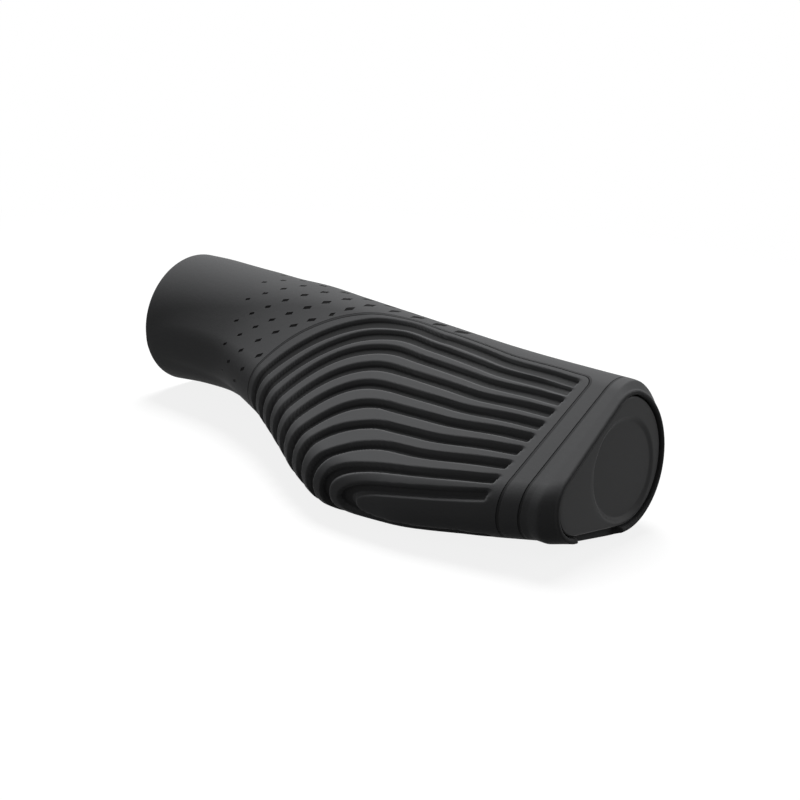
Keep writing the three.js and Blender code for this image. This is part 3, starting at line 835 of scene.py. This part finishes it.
def border_line(x, height):
    """1 on the fine line round the palm panel. Inboard of its crest the line is a^m + b^n = 1,
    with a and b the shares of its half length and its height, and the distance is the left side
    less 1, over its slope. Outboard it falls by a share of the drop to a power. A rounded corner
    joins it to a straight line down the outboard end."""
    below = (-height).most(0).least(UNDER_LIMIT)
    mirrored = (1 - (1 - below * (4 * UNDERSIDE_DRAW)).sqrt()) / (2 * UNDERSIDE_DRAW)
    tall = height.over(0) * height + height.under(0) * mirrored
    stretch = 1 - height.under(0) * mirrored * (2 * UNDERSIDE_DRAW)
    crest, rise, low, fullness, power = BORDER
    rise, low = rise * PANEL_HEIGHT, low * PANEL_END_HEIGHT
    crest_x = panel_x(crest)
    half = crest_x - PANEL_START
    a = abs((crest_x - x) / half).most(1e-4)
    b = (tall / rise).most(1e-4)
    slope_h = b ** (fullness - 1) * (fullness / rise) / stretch
    slope_x = a ** (BORDER_BOW - 1) * (BORDER_BOW / half)
    slope = (slope_x * slope_x + slope_h * slope_h).sqrt()
    bow = (a ** BORDER_BOW + b ** fullness - 1) / slope
    end_x = PANEL_END - PANEL_CORNER
    t = ((x - crest_x) / (end_x - crest_x)).most(0)
    fall = (tall - rise + t ** power * (rise - low)) * stretch
    inboard = x.under(crest_x)
    above = inboard * bow + (1 - inboard) * fall + PANEL_CORNER
    beyond = x - end_x
    corner = (above.most(0) * above.most(0) + beyond.most(0) * beyond.most(0)).sqrt()
    distance = corner + above.most(beyond).least(0) - PANEL_CORNER
    return abs(distance).ramp(BORDER_LINE * 0.25, BORDER_LINE * 0.6, 1.0, 0.0)


def dimples(x, y, z, height):
    """1 in the small slanted pockets. They stand in rows along the bar, by angle about it, and
    every other row is half a pitch on. A pocket is a box in its own slanted coordinates. It is
    there only in the rows and the stretch that have dimples, and clear of the border line."""
    angle = z.math("ARCTAN2", y)
    angle = angle + angle.under(-1.0) * (2 * math.pi)
    drift = x.ramp(*DRIFT_SPAN) * DIMPLE_DRIFT + x.ramp(*LATE_DRIFT_SPAN) * DIMPLE_LATE_DRIFT
    place = (angle + drift - CREST_ROW) / DIMPLE_ROW_ANGLE
    row = place.math("ROUND")
    up = (row - place) * DIMPLE_ROW_ANGLE * (y * y + z * z).sqrt()
    odd = abs(row).math("MODULO", 2.0)
    step = (x - DIMPLE_START - odd * (DIMPLE_PITCH / 2)) / DIMPLE_PITCH
    out = (step - step.math("ROUND")) * DIMPLE_PITCH
    centre_x = x - out
    centre_height = height - up
    growth = (centre_x - DIMPLE_START) * DIMPLE_GROWTH + DIMPLE_FIRST
    side = abs(out) - growth * (DIMPLE_LENGTH / 2)
    flank = abs(up - out * DIMPLE_SLANT) - growth * (DIMPLE_WIDTH / 2)
    pocket = side.most(flank).ramp(*DIMPLE_EDGE, 1.0, 0.0)
    crest, rise, _, fullness, _ = BORDER
    share = ((centre_height - DIMPLE_MARGIN) / (rise * PANEL_HEIGHT)).most(1e-3)
    bow = (1 - share ** fullness).most(0) ** (1 / BORDER_BOW)
    crest_x = panel_x(crest)
    clear = centre_x.under(crest_x - DIMPLE_MARGIN - bow * (crest_x - PANEL_START))
    clear = clear.most(centre_height.over(rise * PANEL_HEIGHT + DIMPLE_MARGIN))
    last_x = row.least(0) * (DIMPLE_PITCH / 2) + DIMPLE_END
    rows = row.over(-FRONT_ROWS - 0.5) * row.under(BACK_ROWS + 0.5) * height.over(0.5)
    reach = centre_x.over(DIMPLE_START - 0.5) * (last_x - centre_x).over(0)
    return pocket * clear * rows * reach


def skin_rubber():
    """Matte moulded rubber: fine mould grain, soft cloudy variation, painted shadow on the
    grooves' dark upper parts and a painted highlight on their pale lower lips, the collar line,
    the fine line round the panel, and the dimples with painted shade in their pockets."""
    graph = new_material("grip_rubber_skin")
    place, (x, y, z) = graph.coordinates()
    height = graph.node("SeparateXYZ", {}, {0: graph.node("UVMap", {"uv_map": "skin"}, {})}, 1)
    height = height * UV_UNIT
    border = border_line(x, height)
    pocket = dimples(x, y, z, height)
    collar = abs(x - COLLAR_X).ramp(*COLLAR_LINE, 1.0, 0.0)
    grain = graph.noise(place, 0.34, 3.0, 0.6)
    pits = graph.noise(place, 1.1)
    cloud = graph.noise(place, 22.0, 3.0)
    outside = graph.stored("groove")
    side = graph.stored("groove_side")
    # Painted shadow: each groove's upper part is darkened where its steep upper wall would shade
    # it, and the share of it weakens outboard
    upper = (side + x.ramp(*SHADOW_SHIFT)).ramp(*SHADOW_SIDE)
    shadow = outside.ramp(*SHADOW_EDGE, 1.0, 0.0) * upper
    # Painted highlight: a pale line just outside each groove's lower edge, where its rounded edge
    # would catch the light
    lip = abs(outside - LIP_HIGHLIGHT_PLACE).ramp(*LIP_HIGHLIGHT_LINE, 1.0, 0.0) * side.under(0)
    colour = graph.mix(cloud * 0.14 + pits * 0.05 + grain * 0.06 + 0.5, *map(tone, SKIN_TONES))
    colour = graph.mix(lip * x.ramp(*LIP_HIGHLIGHT_SHARE), colour, tone(LIP_HIGHLIGHT_TONE))
    colour = graph.mix(shadow * x.ramp(*SHADOW_SHARE), colour, tone(SHADOW_TONE))
    colour = graph.mix(border.most(collar) * LINE_SHARE, colour, tone(LINE_TONE))
    # Painted shade: the dimples' pockets are darkened almost to black, as where they lie in
    # shadow
    colour = graph.mix(pocket, colour, tone(POCKET_SHADE_TONE))
    roughness = grain * 0.05 + cloud * 0.03 + 0.62
    cut = border * BORDER_DEPTH + collar * COLLAR_DEPTH + pocket * DIMPLE_DEPTH
    relief = grain * 0.000010 + pits * 0.000012 - cut * MM
    return graph.surface(colour, roughness, relief, specular=0.03)


def inner_rubber():
    """The rubber inside the bore and the recess: the same, a little smoother from the core pin,
    with faint draw marks round it."""
    graph = new_material("grip_rubber_inside")
    place, (x, _, _) = graph.coordinates()
    grain = graph.noise(place, 0.5)
    cloud = graph.noise(place, 14.0, 3.0)
    marks = (x * 2.2 + cloud * 1.5).math("SINE")
    colour = graph.mix(cloud * 0.2 + 0.5, *map(tone, INSIDE_TONES))
    roughness = grain * 0.04 + marks * 0.02 + 0.55
    return graph.surface(colour, roughness, grain * 0.000006 + marks * 0.000004, specular=0.12)


def cap_plastic():
    """Satin plastic: a finer spark-eroded grain, and faint turning marks in the dish."""
    graph = new_material("cap_plastic_satin")
    place, (_, y, z) = graph.coordinates()
    grain = graph.noise(place, 0.22, 3.0, 0.6)
    cloud = graph.noise(place, 16.0)
    far = (y * y + (z + DISH_DROP) * (z + DISH_DROP)).sqrt()
    turning = (far * 9.0).math("SINE") * far.under(DISH_RADIUS - DISH_WALL)
    colour = graph.mix(cloud * 0.2 + grain * 0.05 + 0.5, *map(tone, PLATE_TONES))
    roughness = grain * 0.05 + cloud * 0.03 + 0.46
    return graph.surface(colour, roughness, grain * 0.000005 + turning * 0.000001, specular=0.1)


def white_to_the_eye(graph, plain, shown):
    """Mixes two shaders: shown for rays from the camera, mirrors and glass, plain for others."""
    seen, mirror, glass = [graph.node("LightPath", {}, {}, f"Is {ray} Ray")
                           for ray in ("Camera", "Glossy", "Transmission")]
    share = seen.most(mirror).most(glass)
    return graph.node("MixShader", {}, {0: share, 1: plain, 2: shown})


def studio_floor(lowest):
    """A plain floor that keeps the object's shadow, and turns fully white further out."""
    mesh = bpy.data.meshes.new("studio_floor")
    corners = [(-1, -1), (1, -1), (1, 1), (-1, 1)]
    mesh.from_pydata([(x * FLOOR_HALF, y * FLOOR_HALF, lowest) for x, y in corners],
                     [], [(0, 1, 2, 3)])
    floor = bpy.data.objects.new("studio_floor", mesh)
    bpy.context.scene.collection.objects.link(floor)
    paper = new_material("studio_paper")
    _, (x, y, _) = paper.coordinates()
    along = x - LENGTH / 2
    far = (along * along + y * y).sqrt().ramp(*FLOOR_WHITE)
    matt = paper.node("BsdfDiffuse", {}, {"Color": (FLOOR_MATT,) * 3 + (1,)})
    dim = paper.node("BsdfDiffuse", {}, {"Color": (FLOOR_DIM,) * 3 + (1,)})
    glow = paper.node("Emission", {}, {"Color": WHITE, "Strength": FLOOR_GLOW})
    near = paper.node("AddShader", {}, {0: dim, 1: glow})
    white = paper.node("Emission", {}, {"Color": WHITE, "Strength": 1.0})
    lit = paper.node("MixShader", {}, {0: far, 1: near, 2: white})
    paper.node("OutputMaterial", {}, {0: white_to_the_eye(paper, matt, lit)})
    mesh.materials.append(paper.owner)
    return floor


def surround():
    """A dim world that looks white."""
    world = bpy.data.worlds.new("studio_surround")
    bpy.context.scene.world = world
    graph = Graph(world)
    plain = graph.node("Background", {}, {"Color": WHITE, "Strength": SURROUND})
    shown = graph.node("Background", {}, {"Color": WHITE, "Strength": 1.0})
    graph.node("OutputWorld", {}, {0: white_to_the_eye(graph, plain, shown)})


def put(holder, right, up, back, place):
    """Links an object, with its axes and its place."""
    holder.matrix_world = Matrix([[right[i], up[i], back[i], place[i]] for i in range(3)]
                                 + [[0, 0, 0, 1]])
    bpy.context.scene.collection.objects.link(holder)


def add_lamps():
    """Soft square lamps that face the object."""
    for name, place, size, power in LAMPS:
        lamp = bpy.data.lights.new(name, "AREA")
        lamp.size = size
        lamp.energy = power
        back = np.array(place) - LAMP_TARGET
        back = back / np.linalg.norm(back)
        side = np.cross([0.0, 1.0, 0.0], back)
        side = side / np.linalg.norm(side)
        put(bpy.data.objects.new(name, lamp), side, np.cross(back, side), back, place)


def add_camera():
    lens = bpy.data.cameras.new("photo_camera")
    lens.lens = CAMERA_LENS
    lens.sensor_width = CAMERA_SENSOR
    lens.sensor_fit = "HORIZONTAL"
    lens.clip_start = 0.01
    lens.clip_end = 20.0
    camera = bpy.data.objects.new("photo_camera", lens)
    put(camera, CAMERA_RIGHT, CAMERA_UP, CAMERA_BACK, CAMERA_PLACE)
    bpy.context.scene.camera = camera


body = grip_body([skin_rubber(), inner_rubber()])
plate = end_cap([cap_plastic()])
for piece, node, slot in [(body, "grip_body", "grip_rubber"), (plate, "end_cap", "cap_plastic")]:
    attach(piece, "root")
    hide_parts(node)

studio_floor(min(cad_box[0][2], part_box("grip_body")[0][2]))
surround()
add_lamps()
add_camera()
bpy.context.scene.view_settings.view_transform = "Standard"
